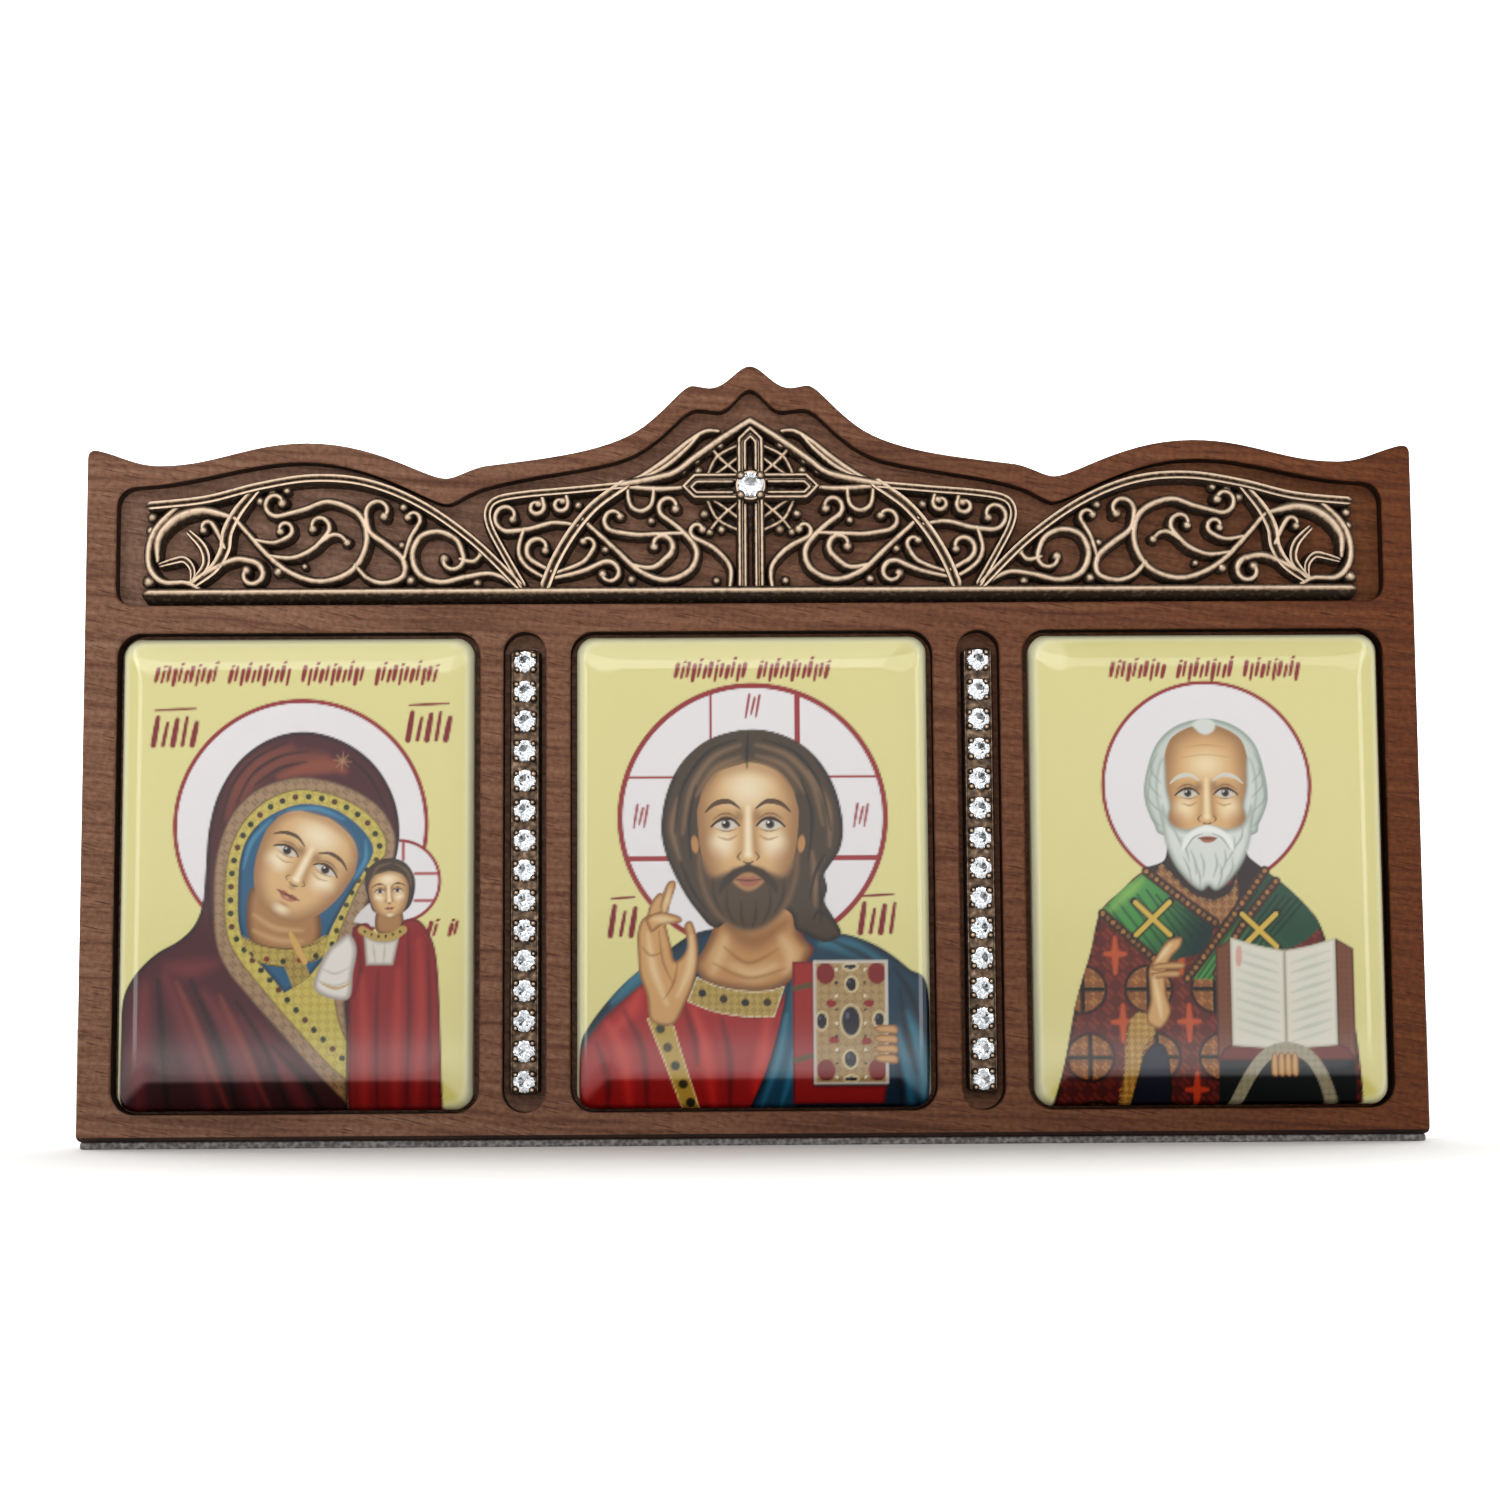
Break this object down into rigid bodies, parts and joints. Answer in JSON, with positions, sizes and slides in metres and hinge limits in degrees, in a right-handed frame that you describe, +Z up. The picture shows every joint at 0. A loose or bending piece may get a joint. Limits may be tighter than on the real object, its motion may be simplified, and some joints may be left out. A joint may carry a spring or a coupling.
{
  "type": "triptych icon",
  "caption": "Small standing triptych icon: a scroll-topped wooden board with domed enamel plaques, a cast openwork crest with a cross, and strips of clear stones.",
  "frame": {"origin": "middle of the underside, on the surface that the icon stands on", "axes": "+X along the width to the viewer's right, +Y from the front to the back, +Z up"},
  "size_m": [0.1, 0.0089, 0.0586],
  "materials": {
    "board_wood": "stained, satin lacquer",
    "base_foam": "matt",
    "enamel": "gloss",
    "antique_silver": "silver plated, oxidised in the hollows",
    "clear_stone": "faceted and polished"
  },
  "bodies": {
    "root": {"frame_board": "board_wood", "base_strip": "base_foam", "plaque_left": "enamel", "plaque_centre": "enamel", "plaque_right": "enamel", "filigree": "antique_silver", "stone_bar_left": "antique_silver", "stone_bar_right": "antique_silver", "stone_cross": "clear_stone", "stone_left_01": "clear_stone", "stone_left_02": "clear_stone", "stone_left_03": "clear_stone", "stone_left_04": "clear_stone", "stone_left_05": "clear_stone", "stone_left_06": "clear_stone", "stone_left_07": "clear_stone", "stone_left_08": "clear_stone", "stone_left_09": "clear_stone", "stone_left_10": "clear_stone", "stone_left_11": "clear_stone", "stone_left_12": "clear_stone", "stone_left_13": "clear_stone", "stone_left_14": "clear_stone", "stone_left_15": "clear_stone", "stone_right_01": "clear_stone", "stone_right_02": "clear_stone", "stone_right_03": "clear_stone", "stone_right_04": "clear_stone", "stone_right_05": "clear_stone", "stone_right_06": "clear_stone", "stone_right_07": "clear_stone", "stone_right_08": "clear_stone", "stone_right_09": "clear_stone", "stone_right_10": "clear_stone", "stone_right_11": "clear_stone", "stone_right_12": "clear_stone", "stone_right_13": "clear_stone", "stone_right_14": "clear_stone", "stone_right_15": "clear_stone"}
  },
  "joints": []
}
